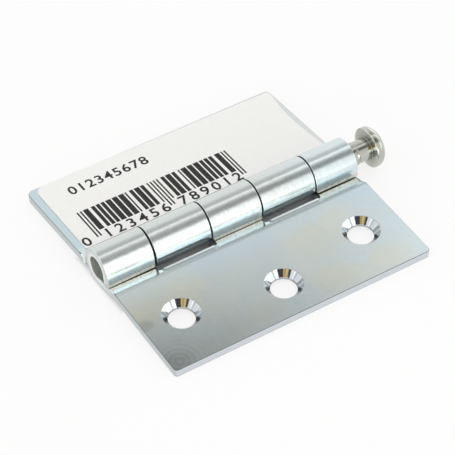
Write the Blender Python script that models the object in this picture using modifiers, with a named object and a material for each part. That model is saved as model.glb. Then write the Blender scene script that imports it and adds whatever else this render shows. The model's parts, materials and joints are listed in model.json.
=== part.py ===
"""Loose-pin butt hinge, lying open and face up with its pin drawn part of the way out.

Two leaves are stamped from sheet, folded down beside the barrel and rolled over into five knuckles.
The near leaf (-Y) carries knuckles 1, 3 and 5, counted from the left end (-X), and the far leaf (+Y)
carries 2 and 4. A headed pin runs through them along X, and a paper label is stuck on the far leaf.

Units are metres and +Z is up. The barrel and both outer edges touch the surface at z = 0, and the
origin lies on that surface below the centre of the whole hinge.
"""

import math

import bmesh
import bpy

# Barrel: five knuckles from left to right, each length measured to the middle of its joint
knuckle_1_length = 0.0149
knuckle_2_length = 0.0176
knuckle_3_length = 0.0162
knuckle_4_length = 0.0174
knuckle_5_length = 0.0139
knuckle_gap = 0.0003
bore_diameter = 0.0070
roll_straight_end = 0.0026
seam_gap = 0.00025

# Leaves
leaf_width = 0.0404
sheet_thickness = 0.0025
closed_gap = 0.0025
crank_angle = math.radians(14)
crank_inner_radius = 0.0065
corner_radius = 0.0011
edge_round = 0.0003
notch_clearance = 0.0016
notch_corner_radius = 0.0012

# Screw holes, three in each leaf
countersink_diameter = 0.0107
hole_diameter = 0.0074
countersink_angle = math.radians(82)
end_hole_inset = 0.0116
inner_hole_distance = 0.0243
outer_hole_distance = 0.0296

# Pin
pin_clearance = 0.00025
pin_tip_inset = 0.0010
pin_tip_chamfer = 0.0008
pin_drawn_out = 0.0070
head_diameter = 0.0120
head_rim_height = 0.0012
head_dome_height = 0.0032
head_edge_radius = 0.0004
neck_fillet = 0.0005
shank_ring_place = 0.0044
shank_ring_width = 0.0008
shank_ring_height = 0.00015

# Paper label on the far leaf
label_left_margin = 0.0023
label_right_margin = 0.0011
label_back_margin = 0.0005
label_fold_overlap = 0.0009
label_turn = math.radians(-0.5)
label_corner_radius = 0.0008
label_back_left_corner_radius = 0.0030
label_thickness = 0.00015
label_gap = 0.0001

# Fineness of the round shapes
ring_steps = 44
bend_steps = 4
corner_steps = 5
round_steps = 2
turned_steps = 48
dome_steps = 10
fillet_steps = 4
edge_angle = math.radians(55)
cutter_margin = 0.002

# Sizes that follow from the ones above
knuckle_lengths = (knuckle_1_length, knuckle_2_length, knuckle_3_length, knuckle_4_length, knuckle_5_length)
leaf_length = sum(knuckle_lengths)
left_end = -leaf_length / 2
right_end = leaf_length / 2
bore_radius = bore_diameter / 2
barrel_radius = bore_radius + sheet_thickness
face_drop = closed_gap / 2
middle_drop = face_drop + sheet_thickness / 2
middle_radius = bore_radius + sheet_thickness / 2
notch_edge = barrel_radius + notch_clearance
pin_radius = bore_radius - pin_clearance
pin_length = leaf_length - pin_tip_inset
head_height = head_rim_height + head_dome_height

# Where the middle of the sheet would turn down in a sharp corner, measured from the barrel's axis
fold_distance = (middle_radius - middle_drop * math.cos(crank_angle)) / math.sin(crank_angle)
fold_radius = crank_inner_radius + sheet_thickness / 2
fold_start = fold_distance + fold_radius * math.tan(crank_angle / 2)

NEAR = -1
FAR = 1


def joints_between_knuckles():
    """X of both ends of the barrel and of the four joints between knuckles."""
    places = [left_end]
    for length in knuckle_lengths:
        places.append(places[-1] + length)
    return places


def resting_angle():
    """How far a leaf droops from level when the barrel and its rounded outer edge lie on one plane."""
    across = leaf_width - edge_round
    down = face_drop + sheet_thickness - edge_round
    reach = math.hypot(across, down)
    return math.asin((barrel_radius - edge_round) / reach) - math.atan2(down, across)


def roll_end_angle():
    """Where the roll turns straight, so that the outer corner of its end stands seam_gap above the crank."""
    reach = math.hypot(barrel_radius, roll_straight_end)
    lean = math.asin((bore_radius - seam_gap) / reach) - math.atan2(roll_straight_end, barrel_radius)
    return math.pi - crank_angle + lean


def sheet_middle():
    """The middle of the rolled sheet as (distance from the axis, height), from its outer edge to its end.

    It runs level to the fold, down the crank and on round the bore, and its last stretch is straight
    and ends above the crank. Distances are negative on the leaf's own side of the barrel.
    """
    line = [(-leaf_width, -middle_drop)]
    for step in range(bend_steps + 1):
        turn = crank_angle * step / bend_steps
        line.append(
            (
                -fold_start + fold_radius * math.sin(turn),
                -middle_drop - fold_radius * (1 - math.cos(turn)),
            )
        )
    start = -math.pi / 2 - crank_angle
    end = roll_end_angle()
    for step in range(ring_steps + 1):
        angle = start + (end - start) * step / ring_steps
        line.append((middle_radius * math.cos(angle), middle_radius * math.sin(angle)))
    distance, height = line[-1]
    line.append(
        (
            distance - roll_straight_end * math.sin(end),
            height + roll_straight_end * math.cos(end),
        )
    )
    return line


def new_collection(name):
    collection = bpy.data.collections.new(name)
    bpy.context.scene.collection.children.link(collection)
    return collection


def new_material(name, color, roughness, metallic):
    material = bpy.data.materials.new(name)
    material.use_nodes = True
    surface = material.node_tree.nodes["Principled BSDF"]
    surface.inputs["Base Color"].default_value = (*color, 1)
    surface.inputs["Roughness"].default_value = roughness
    surface.inputs["Metallic"].default_value = metallic
    return material


def new_empty(name, collection, parent=None):
    empty = bpy.data.objects.new(name, None)
    empty.empty_display_size = barrel_radius
    empty.parent = parent
    collection.objects.link(empty)
    return empty


def object_from(shape, name, collection, parent):
    """A mesh object made from a bmesh, which is freed."""
    mesh = bpy.data.meshes.new(name)
    shape.to_mesh(mesh)
    shape.free()
    made = bpy.data.objects.new(name, mesh)
    made.parent = parent
    collection.objects.link(made)
    return made


def hide_cutter(cutter):
    cutter.hide_render = True
    cutter.display_type = "WIRE"


def shade_round(made):
    made.data.shade_smooth()
    made.data.set_sharp_from_angle(angle=math.radians(30))


def turned(profile, name, collection, parent):
    """A solid turned round its own Z axis, from (radius, height) points that run from top to bottom."""
    shape = bmesh.new()
    points = [shape.verts.new((radius, 0, height)) for radius, height in profile]
    for upper, lower in zip(points, points[1:]):
        shape.edges.new((upper, lower))
    made = object_from(shape, name, collection, parent)
    screw = made.modifiers.new("Turn", "SCREW")
    screw.steps = turned_steps
    screw.render_steps = turned_steps
    screw.use_merge_vertices = True
    screw.merge_threshold = 0.000001
    screw.use_smooth_shade = True
    return made


def rolled_sheet(name, side, collection, frame):
    """The whole sheet of a leaf before its notches and holes are cut, as an open surface made thick."""
    shape = bmesh.new()
    rows = []
    for distance, height in sheet_middle():
        ends = (left_end, right_end) if side == NEAR else (right_end, left_end)
        rows.append([shape.verts.new((x, -side * distance, height)) for x in ends])
    for first, second in zip(rows, rows[1:]):
        shape.faces.new((first[0], first[1], second[1], second[0]))
    bmesh.ops.bevel(
        shape,
        geom=rows[0],
        offset=corner_radius,
        segments=corner_steps,
        affect="VERTICES",
        profile=0.5,
    )
    leaf = object_from(shape, name, collection, frame)
    thicken = leaf.modifiers.new("Sheet thickness", "SOLIDIFY")
    thicken.thickness = sheet_thickness
    thicken.offset = 0
    thicken.use_even_offset = True
    return leaf


def notch_cutter(name, side, left, right, collection, frame):
    """Clears one opposite knuckle out of a leaf, with the two corners at the notch's root rounded."""
    past_barrel = barrel_radius + cutter_margin
    root = side * notch_edge
    depth = notch_edge + past_barrel
    shape = bmesh.new()
    bmesh.ops.create_cube(shape, size=1)
    bmesh.ops.scale(shape, vec=(right - left, depth, 2 * past_barrel), verts=shape.verts)
    bmesh.ops.translate(shape, vec=((left + right) / 2, root - side * depth / 2, 0), verts=shape.verts)
    root_corners = [
        edge
        for edge in shape.edges
        if all(abs(vertex.co.y - root) < edge_round for vertex in edge.verts)
        and abs(edge.verts[0].co.x - edge.verts[1].co.x) < edge_round
    ]
    bmesh.ops.bevel(
        shape,
        geom=root_corners,
        offset=notch_corner_radius,
        segments=corner_steps,
        affect="EDGES",
        profile=0.5,
    )
    cutter = object_from(shape, name, collection, frame)
    hide_cutter(cutter)


def hole_cutter(name, x, distance, side, collection, frame):
    """A countersunk screw hole, square to the leaf and open through both of its faces."""
    slope = math.tan(countersink_angle / 2)
    rim = countersink_diameter / 2
    hole = hole_diameter / 2
    sink_depth = (rim - hole) / slope
    profile = (
        (0, cutter_margin),
        (rim + cutter_margin * slope, cutter_margin),
        (hole, -sink_depth),
        (hole, -sheet_thickness - cutter_margin),
        (0, -sheet_thickness - cutter_margin),
    )
    cutter = turned(profile, name, collection, frame)
    cutter.location = (x, side * distance, -face_drop)
    hide_cutter(cutter)


def screw_holes():
    """X and distance from the barrel's axis of the three holes: two near the barrel, one further out."""
    return (
        (left_end + end_hole_inset, inner_hole_distance),
        (0, outer_hole_distance),
        (right_end - end_hole_inset, inner_hole_distance),
    )


def make_leaf(name, side, other_knuckles, parts, cutters, frame, material):
    """One leaf: the rolled sheet, notched for the other leaf's knuckles and drilled for its screws."""
    leaf = rolled_sheet(name, side, parts, frame)
    places = joints_between_knuckles()
    for number in other_knuckles:
        left = places[number - 1] - knuckle_gap / 2
        right = places[number] + knuckle_gap / 2
        if number == 1:
            left = left_end - cutter_margin
        if number == len(knuckle_lengths):
            right = right_end + cutter_margin
        notch_cutter(f"{name}_notch_{number}", side, left, right, cutters, frame)
    for number, (x, distance) in enumerate(screw_holes(), start=1):
        hole_cutter(f"{name}_hole_{number}", x, distance, side, cutters, frame)
    cut = leaf.modifiers.new("Notches and holes", "BOOLEAN")
    cut.operation = "DIFFERENCE"
    cut.operand_type = "COLLECTION"
    cut.collection = cutters
    cut.solver = "EXACT"
    rounding = leaf.modifiers.new("Stamped edges", "BEVEL")
    rounding.width = edge_round
    rounding.segments = round_steps
    rounding.limit_method = "ANGLE"
    rounding.angle_limit = edge_angle
    rounding.use_clamp_overlap = False
    leaf.data.materials.append(material)
    shade_round(leaf)
    return leaf


def pin_profile():
    """Half outline of the pin from the top of its domed head down to its tip, seat of the head at height 0.

    A low ring stands on the shank near the head.
    """
    head = head_diameter / 2
    profile = []
    for step in range(dome_steps + 1):
        angle = math.pi / 2 * (1 - step / dome_steps)
        profile.append((head * math.cos(angle), head_rim_height + head_dome_height * math.sin(angle)))
    profile[0] = (0, head_height)
    for step in range(fillet_steps + 1):
        angle = math.pi / 2 * step / fillet_steps
        profile.append(
            (
                head - head_edge_radius * (1 - math.cos(angle)),
                head_edge_radius * (1 - math.sin(angle)),
            )
        )
    for step in range(fillet_steps + 1):
        angle = math.pi / 2 * step / fillet_steps
        profile.append(
            (
                pin_radius + neck_fillet * (1 - math.sin(angle)),
                -neck_fillet * (1 - math.cos(angle)),
            )
        )
    for step in range(fillet_steps + 1):
        share = step / fillet_steps
        profile.append(
            (
                pin_radius + shank_ring_height * math.sin(math.pi * share),
                shank_ring_width * (0.5 - share) - shank_ring_place,
            )
        )
    profile.append((pin_radius, pin_tip_chamfer - pin_length))
    profile.append((pin_radius - pin_tip_chamfer, -pin_length))
    profile.append((0, -pin_length))
    return profile


def make_pin(parts, axis, material):
    """The headed pin, turned round Z and laid along the barrel with its head to the right."""
    pin = turned(pin_profile(), "hinge_pin", parts, axis)
    pin.rotation_euler = (0, math.pi / 2, 0)
    pin.location = (right_end + pin_drawn_out, 0, 0)
    pin.data.materials.append(material)
    shade_round(pin)
    return pin


def make_label(parts, frame, material):
    """The paper label, a thin sheet with rounded corners, stuck a little askew on the far leaf's upper face."""
    left = left_end + label_left_margin
    right = right_end - label_right_margin
    front = fold_start - label_fold_overlap
    back = leaf_width - label_back_margin
    across = (right - left) / 2
    along = (back - front) / 2
    outline = ((-across, -along), (across, -along), (across, along), (-across, along))
    shape = bmesh.new()
    corners = [shape.verts.new((x, y, 0)) for x, y in outline]
    shape.faces.new(corners)
    rounded = ((corners[:3], label_corner_radius), (corners[3:], label_back_left_corner_radius))
    for geometry, radius in rounded:
        bmesh.ops.bevel(
            shape,
            geom=geometry,
            offset=radius,
            segments=corner_steps,
            affect="VERTICES",
            profile=0.5,
        )
    label = object_from(shape, "paper_label", parts, frame)
    label.location = ((left + right) / 2, (front + back) / 2, label_gap - face_drop)
    label.rotation_euler = (0, 0, label_turn)
    thicken = label.modifiers.new("Paper thickness", "SOLIDIFY")
    thicken.thickness = label_thickness
    thicken.offset = 1
    label.data.materials.append(material)
    return label


def main():
    for old in list(bpy.data.objects):
        bpy.data.objects.remove(old, do_unlink=True)
    parts = new_collection("hinge")
    near_cutters = new_collection("near_leaf_cutters")
    far_cutters = new_collection("far_leaf_cutters")

    zinc = new_material("bright_zinc_plate", (0.60, 0.63, 0.66), 0.30, 1.0)
    nickel = new_material("nickel_plate", (0.66, 0.63, 0.55), 0.22, 1.0)
    paper = new_material("white_label_paper", (0.90, 0.90, 0.89), 0.60, 0.0)

    axis = new_empty("barrel_axis", parts)
    axis.location = (-(pin_drawn_out + head_height) / 2, 0, barrel_radius)
    near_frame = new_empty("near_leaf_frame", parts, axis)
    near_frame.rotation_euler = (resting_angle(), 0, 0)
    far_frame = new_empty("far_leaf_frame", parts, axis)
    far_frame.rotation_euler = (-resting_angle(), 0, 0)

    make_leaf("near_leaf", NEAR, (2, 4), parts, near_cutters, near_frame, zinc)
    make_leaf("far_leaf", FAR, (1, 3, 5), parts, far_cutters, far_frame, zinc)
    make_pin(parts, axis, nickel)
    make_label(parts, far_frame, paper)


main()
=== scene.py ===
"""Loose-pin butt hinge in bright zinc plate, with a nickel-plated pin and a paper label.

The file is laid out as an add-on and is run as a script. The shape functions work in metres in the
frame of the barrel's axis: X runs along the barrel, and a leaf is drawn lying towards -Y.
"""

import json
import math
from functools import partial

import bpy
import numpy as np
from bpy.props import FloatProperty, FloatVectorProperty, PointerProperty, StringProperty
from bpy.types import Operator, Panel, PropertyGroup
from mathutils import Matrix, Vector
from mathutils.geometry import delaunay_2d_cdt


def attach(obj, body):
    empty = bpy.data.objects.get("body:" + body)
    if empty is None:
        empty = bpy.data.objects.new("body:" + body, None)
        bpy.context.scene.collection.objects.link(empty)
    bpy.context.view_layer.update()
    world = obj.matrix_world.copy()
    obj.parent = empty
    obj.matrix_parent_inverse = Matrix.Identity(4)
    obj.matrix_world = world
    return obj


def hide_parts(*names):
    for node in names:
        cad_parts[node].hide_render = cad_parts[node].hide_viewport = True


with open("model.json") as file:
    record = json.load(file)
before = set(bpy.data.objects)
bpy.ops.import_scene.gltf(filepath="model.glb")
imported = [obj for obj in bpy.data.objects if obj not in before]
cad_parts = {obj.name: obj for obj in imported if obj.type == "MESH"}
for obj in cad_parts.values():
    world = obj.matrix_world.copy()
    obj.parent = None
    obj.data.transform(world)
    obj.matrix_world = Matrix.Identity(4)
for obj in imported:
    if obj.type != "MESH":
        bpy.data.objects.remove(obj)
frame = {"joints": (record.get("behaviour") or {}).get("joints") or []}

bl_info = {
    "name": "Loose-pin butt hinge",
    "version": (1, 0, 0),
    "blender": (4, 5, 0),
    "location": "3D View > Sidebar > Hinge",
    "description": "Builds the leaves, pin and label of a loose-pin butt hinge and a plain studio for it",
    "category": "Add Mesh",
}

NEAR = -1
FAR = 1
MM = 0.001
RING_STEP = math.radians(3.5)
FOLD_STEPS = 6
CORNER_STEPS = 8
ROUND_STEPS = 5
HOLE_STEPS = 72
TURNED_STEPS = 96
DOME_STEPS = 24
# Radius on the corners of the strips that are rolled, and on the outer edge that a leaf rests on
STRIP_CORNER = 0.0005
REST_EDGE = 0.0003
# How much further knuckle 1 is drawn in at the front of its joint
DRAWN_IN = 0.00012
# Less than this far from a leaf's end is at its end
AT_END = 0.002
# How far past its line an edge's wall still counts, and how far before the roll the bore's wall starts
PAST_EDGE = 0.001
BEFORE_ROLL = 0.0034
# A digit's height as a share of the font's size, and how much its strokes are thickened
DIGIT_SHARE = 0.72
DIGIT_WEIGHT = 0.00008
# Lift of a notch's edge that counts as 1 in the attribute
FULL_LIFT = 0.0006
FLOOR_RADIUS = 4.0
# The camera, fitted to the leaves' corners, the barrel and the holes: place, turn in degrees and lens in mm
CAMERA_PLACE = (-0.2108065, -0.3440436, 0.3800343)
CAMERA_TURN = (46.489616, 1.347854, -32.181387)
CAMERA_LENS = 159.4336


def linear(code):
    """An sRGB hex colour as linear red, green and blue, and full alpha."""
    value = np.array([int(code[place:place + 2], 16) for place in (1, 3, 5)]) / 255
    return (*np.where(value <= 0.04045, value / 12.92, ((value + 0.055) / 1.055) ** 2.4), 1.0)


def length(name, description, default):
    return FloatProperty(
        name=name, description=description, default=default, min=0, unit="LENGTH", precision=5
    )


def turn(name, description, degrees):
    return FloatProperty(name=name, description=description, default=math.radians(degrees), subtype="ANGLE")


def colour(name, description, code):
    return FloatVectorProperty(
        name=name, description=description, default=linear(code), size=4, min=0, max=1, subtype="COLOR"
    )


class HingeLeafSizes(PropertyGroup):
    """Sizes of the two stamped and rolled leaves."""

    knuckle_lengths: FloatVectorProperty(
        name="Knuckle lengths",
        description="The five knuckles from left to right, each to the middle of its joints",
        default=(0.0149, 0.0176, 0.0162, 0.0174, 0.0139),
        size=5,
        unit="LENGTH",
    )
    knuckle_gap: length("Knuckle gap", "Play between two knuckles", 0.00035)
    bore: length("Bore", "Diameter of the hole through the barrel", 0.0070)
    thickness: length("Sheet thickness", "Thickness of the steel sheet", 0.0025)
    width: length("Leaf width", "From the barrel's axis to a leaf's outer edge", 0.0404)
    closed_gap: length("Closed gap", "Space between the leaves when the hinge is shut", 0.0025)
    crank: turn("Crank", "How steeply the sheet goes down beside the barrel", 14)
    crank_radius: length("Crank radius", "Inner radius of the fold at the crank", 0.0040)
    straight_end: length("Straight end", "Last stretch of the roll, which stays straight", 0.0026)
    seam_gap: length("Seam gap", "Space between the roll's end and the crank", 0.00025)
    corner: length("Corner radius", "Outer corners of a leaf", 0.0011)
    soft_corner: length("Soft corner radius", "The far leaf's back left corner, which is rounder", 0.0020)
    notch_clearance: length("Notch clearance", "From the barrel to the near leaf's notches", 0.0025)
    far_clearance: length("Far notch clearance", "From the barrel to the far leaf's notches", 0.0014)
    notch_corner: length("Notch corner", "Radius in the two corners of a notch", 0.0012)
    rollover: length("Rollover", "How far the blanking rounds the upper face in from its edge", 0.00045)
    rollover_depth: length("Rollover depth", "How deep the blanking rounds the upper face", 0.0003)
    lower_round: length("Lower edge", "Small round on the lower face's edge", 0.00018)
    torn: length("Torn length", "Last stretch of the roll, which the cutting tore and spread", 0.0011)
    spread: length("Spread", "How much thicker the sheet is at the very end of the roll", 0.00006)
    notch_curl: turn("Notch curl", "How steeply the near leaf rises at its notches' edges", 22)
    notch_reach: length("Notch reach", "How far from a strip the sheet behind a notch is level", 0.0014)
    stretch: length("Stretch", "How much longer the roll is where its seam is closed", 0.0002)
    wave: length("Joint wave", "How far a knuckle's edge strays from straight", 0.00006)
    sink: length("Countersink", "Diameter of a countersink at the face", 0.0107)
    hole: length("Screw hole", "Diameter of a screw hole", 0.0074)
    sink_angle: turn("Countersink angle", "Angle between opposite sides of the countersink", 82)
    end_hole_inset: length("End hole inset", "From a leaf's end to the nearer screw hole", 0.0116)
    inner_hole: length("Inner hole distance", "From the axis to the two end holes", 0.0243)
    outer_hole: length("Outer hole distance", "From the axis to the middle hole", 0.0296)


class HingePinSizes(PropertyGroup):
    """Sizes of the headed pin."""

    diameter: length("Shank", "Diameter of the shank", 0.0065)
    total: length("Length", "Length of the shank below the head", 0.0790)
    drawn_out: length("Drawn out", "How far the head stands from the barrel", 0.0070)
    head: length("Head", "Diameter of the head", 0.0120)
    rim: length("Head rim", "Height of the head's straight rim", 0.0012)
    dome: length("Head dome", "Height of the dome above the rim", 0.0032)
    edge: length("Head edge", "Round on the rim's lower edge", 0.0004)
    fillet: length("Neck fillet", "Fillet between shank and head", 0.0002)
    seat_play: length("Seat play", "Room under the head when the pin is driven home", 0.00006)
    # Reach of the painted shade under the head
    neck_shade_reach: length("Neck reach", "How far along the shank the plate is duller below the head", 0.0011)
    ring_place: length("Ring place", "From the head to the low ring on the shank", 0.0044)
    ring_width: length("Ring width", "Width of the low ring", 0.0008)
    ring_height: length("Ring height", "Height of the low ring", 0.00015)
    chamfer: length("Tip chamfer", "Chamfer of the tip", 0.0008)


class HingeLabelSizes(PropertyGroup):
    """Sizes of the paper label."""

    left: length("Left margin", "Bare metal to the left of the paper", 0.0023)
    right: length("Right margin", "Bare metal to the right of the paper", 0.0011)
    back: length("Back margin", "Bare metal behind the paper", 0.0005)
    overlap: length("Fold overlap", "How far the paper reaches over the fold's start", 0.0009)
    askew: turn("Askew", "How far the paper is turned on the leaf", -0.5)
    corner: length("Corner radius", "Corners of the paper", 0.0008)
    soft_corner: length("Soft corner radius", "The paper's back left corner, which is rounder", 0.0030)
    thickness: length("Paper thickness", "Thickness of the paper", 0.00015)
    gap: length("Glue", "Thickness of the glue under the paper", 0.0001)
    flare: length("Flare", "How much further the right edge reaches at its back corner", 0.0007)
    bow: length("Bow", "How far the right edge is bowed in along its middle", 0.0006)


class HingePrintSizes(PropertyGroup):
    """Sizes of the bars and plain numbers, placed from the barrel's left end and from its axis."""

    height: length("Ink", "Height of the print above the paper", 0.00002)
    spread: length("Ink spread", "How far a wide bar spreads on each side", 0.00006)
    shrink: length("Bar shrinkage", "How much narrower each bar is printed", 0.00004)
    module: length("Module", "Width of the narrowest bar and gap", 0.000502)
    bars_left: length("Bars' left edge", "From the barrel's left end to the bars", 0.0071)
    bars_front: length("Bars' front", "From the axis to the bars' front ends", 0.0141)
    bars_back: length("Bars' back", "From the axis to the bars' back ends", 0.0239)
    guards_front: length("Guards' front", "From the axis to the longer bars' front ends", 0.0117)
    upper_number: StringProperty(
        name="Upper number", description="Plain number near the back", default="012345678"
    )
    upper_left: length("Upper first digit", "From the barrel's left end to its middle", 0.0109)
    upper_pitch: length("Upper pitch", "From one digit's middle to the next", 0.00284)
    upper_front: length("Upper front", "From the axis to the digits' feet", 0.0315)
    upper_height: length("Upper height", "Height of a digit", 0.0036)
    lower_number: StringProperty(
        name="Lower number", description="Plain number below the bars", default="0123456789012"
    )
    lower_first: length("Lower first digit", "From the barrel's left end to its middle", 0.0038)
    lower_left: length("Lower second digit", "From the barrel's left end to its middle", 0.0105)
    lower_middle: length("Lower eighth digit", "From the barrel's left end to its middle", 0.0341)
    lower_pitch: length("Lower left pitch", "From one digit to the next in the left half", 0.0036)
    lower_end_pitch: length("Lower right pitch", "From one digit to the next in the right half", 0.00352)
    lower_front: length("Lower front", "From the axis to the digits' feet", 0.0100)
    lower_height: length("Lower height", "Height of a digit", 0.0037)


class HingeFinishes(PropertyGroup):
    """Colours of the plating, paper, print, floor and lamp."""

    zinc: colour("Zinc", "Bright zinc plate where it looks blue", "#DBE6E8")
    zinc_warm: colour("Warm zinc", "Bright zinc plate where its film looks straw-coloured", "#E2E4D6")
    zinc_blue: colour("Blue zinc", "Bright zinc plate where its film is thickest", "#D6EAF4")
    zinc_far: colour("Far zinc", "Bright zinc plate on the far leaf, which is bluer", "#CADBE0")
    zinc_crown: colour("Crown zinc", "Bright zinc plate on the barrel's upper side", "#D9DFDC")
    zinc_edge: colour("Sheared zinc", "Zinc plate on the sheared edges", "#D2D7DB")
    zinc_end: colour("Sheared ends", "Zinc plate on the sheared sides square to the barrel", "#C3C9CA")
    # Painted shade: dark blue-grey laid on the barrel's lower side and the sheet under it
    zinc_under_shade: colour("Shielded zinc", "Thin zinc plate under the barrel", "#3E5564")
    cone_bright: colour("Bright countersink", "Zinc plate on the cut cones", "#EFF3F5")
    cone_dull: colour("Dull countersink", "Zinc plate in the cones' chatter marks", "#C3CACE")
    # Painted light: lighter than the plate outside, so the inside of the bore and the sheet just before the
    # roll look brighter
    bore: colour("Bore", "Thin dull zinc plate inside the barrel", "#EEF0EA")
    # Painted shade and a dark line: knuckle sides inside the joints, the outer edges' upper rounding and the
    # countersinks' front halves
    zinc_dark_shade: colour("Creased zinc", "Zinc plate in the pressed line along the outer edges", "#6F757A")
    zinc_cut: colour("Torn zinc", "Zinc plate on the torn end of the roll", "#F6F3E8")
    zinc_groove: colour("Torn grooves", "Grooves in the torn end of the roll", "#CBC6B8")
    nickel: colour("Nickel", "Nickel plate of the pin", "#D3D5CC")
    nickel_dull: colour("Dull nickel", "Nickel plate where it is handled", "#A9ACA2")
    # Painted shade in the corner under the head
    nickel_neck_shade: colour("Neck nickel", "Nickel plate in the corner under the head", "#3F4136")
    paper: colour("Paper", "White label paper", "#F8F8F6")
    paper_grey: colour("Paper shade", "White label paper in its fibres' hollows", "#F2F2F0")
    ink: colour("Ink", "Print on the label", "#1C1C19")
    floor: colour("Floor", "Plain pale floor", "#F5F5F5")
    lamp: colour("Brass lamp", "Lamp beside the camera, which the countersinks mirror", "#D8BC80")


# Meshes


def put_mesh(name, points, faces, normals, material, layers=None):
    """Puts whole arrays of points and faces into a mesh object that lies at the origin."""
    lists = [row for part in faces for row in part.tolist()]
    mesh = bpy.data.meshes.new(name)
    mesh.from_pydata(points.tolist(), [], lists)
    mesh.validate()
    mesh.calc_loop_triangles()
    triangles = np.empty(len(mesh.loop_triangles) * 3, dtype=np.int32)
    mesh.loop_triangles.foreach_get("vertices", triangles)
    first, second, third = points[triangles.reshape(-1, 3)].transpose(1, 0, 2)
    if np.einsum("ij,ij->i", first, np.cross(second, third)).sum() <= 0:
        raise RuntimeError(f"{name} is inside out")
    if normals is not None:
        mesh.polygons.foreach_set("use_smooth", np.ones(len(mesh.polygons), dtype=bool))
        mesh.normals_split_custom_set_from_vertices(normals.tolist())
    for title, values in (layers or {}).items():
        kind, part = ("FLOAT", "value") if values.ndim == 1 else ("FLOAT_VECTOR", "vector")
        layer = mesh.attributes.new(title, kind, "POINT")
        layer.data.foreach_set(part, values.astype(np.float32).ravel())
    mesh.materials.append(material)
    made = bpy.data.objects.new(name, mesh)
    bpy.context.scene.collection.objects.link(made)
    return made


def rounded_loop(corners, radii, steps):
    """A closed outline with square corners that are rounded, and its outward normals.

    Each arc lies about a centre set off from its corner by the radius along both edges, towards the
    material at an outward corner and away from it at an inward one.
    """
    corners = np.array(corners, dtype=float)
    radii = np.array(radii, dtype=float)[:, None]
    before = corners - np.roll(corners, 1, axis=0)
    after = np.roll(corners, -1, axis=0) - corners
    before /= np.linalg.norm(before, axis=1, keepdims=True)
    after /= np.linalg.norm(after, axis=1, keepdims=True)
    first = np.stack([before[:, 1], -before[:, 0]], axis=1)
    second = np.stack([after[:, 1], -after[:, 0]], axis=1)
    bulge = np.sign(before[:, 0] * after[:, 1] - before[:, 1] * after[:, 0])[:, None]
    centre = corners - bulge * radii * (first + second)
    angle = np.linspace(0, math.pi / 2, steps + 1)[None, :, None]
    normals = first[:, None] * np.cos(angle) + second[:, None] * np.sin(angle)
    points = centre[:, None] + (bulge * radii)[:, None] * normals
    return points.reshape(-1, 2), normals.reshape(-1, 2)


def with_stations(points, normals, stations):
    """The same outline with one more point wherever it crosses a line of constant second coordinate."""
    rows = np.hstack([points, normals])
    closed = np.vstack([rows, rows[:1]])
    start, end = closed[:-1, 1:2], closed[1:, 1:2]
    edge, station = np.nonzero((start - stations) * (end - stations) < 0)
    share = (stations[station] - start[edge, 0]) / (end[edge, 0] - start[edge, 0])
    places = np.sort(np.concatenate([np.arange(len(points)), edge + share]))
    whole = np.arange(len(closed))
    columns = np.stack([np.interp(places, whole, column) for column in closed.T], axis=1)
    return columns[:, :2], columns[:, 2:]


def cross_lines(points, stations):
    """Pairs of outline points that face each other across the material on one station."""
    if len(stations) == 0:
        return np.empty((0, 2), dtype=int)
    off = np.abs(points[:, 1][:, None] - stations)
    station = off.argmin(axis=1)
    on = np.nonzero(off.min(axis=1) < 1e-9)[0]
    order = on[np.lexsort((points[on, 0], station[on]))]
    return order.reshape(-1, 2)


def filled(points, edges, centres, radius):
    """Triangles between outlines and cross lines, by constrained Delaunay, with the holes left open."""
    flat = list(map(Vector, (points / MM).tolist()))
    verts, _, faces, origins, _, _ = delaunay_2d_cdt(flat, edges.tolist(), [], 1, 1e-7)
    if len(verts) != len(points):
        raise RuntimeError("two points of an outline fell together")
    source = np.array([origin[0] for origin in origins])
    triangles = source[np.array([list(face) for face in faces])]
    if len(centres):
        middle = points[triangles].mean(axis=1)
        away = np.linalg.norm(middle[:, None] - centres[None], axis=2)
        triangles = triangles[(away > radius).all(axis=1)]
    first, second, third = points[triangles].transpose(1, 0, 2)
    side = np.cross(second - first, third - first)
    return np.where(side[:, None] > 0, triangles, triangles[:, ::-1])


def loop_edges(start, count):
    """Pairs of neighbours round one closed loop of points."""
    index = np.arange(count)
    return start + np.stack([index, (index + 1) % count], axis=1)


def wall_quads(start, rows, loops, count):
    """Quads between the rows of closed loops, facing away from the material on the loops' left."""
    row, loop, index = np.meshgrid(np.arange(rows - 1), np.arange(loops), np.arange(count), indexing="ij")
    here = start + row * loops * count + loop * count + index
    there = start + row * loops * count + loop * count + (index + 1) % count
    step = loops * count
    return np.stack([here, here + step, there + step, there], axis=-1).reshape(-1, 4)


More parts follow.
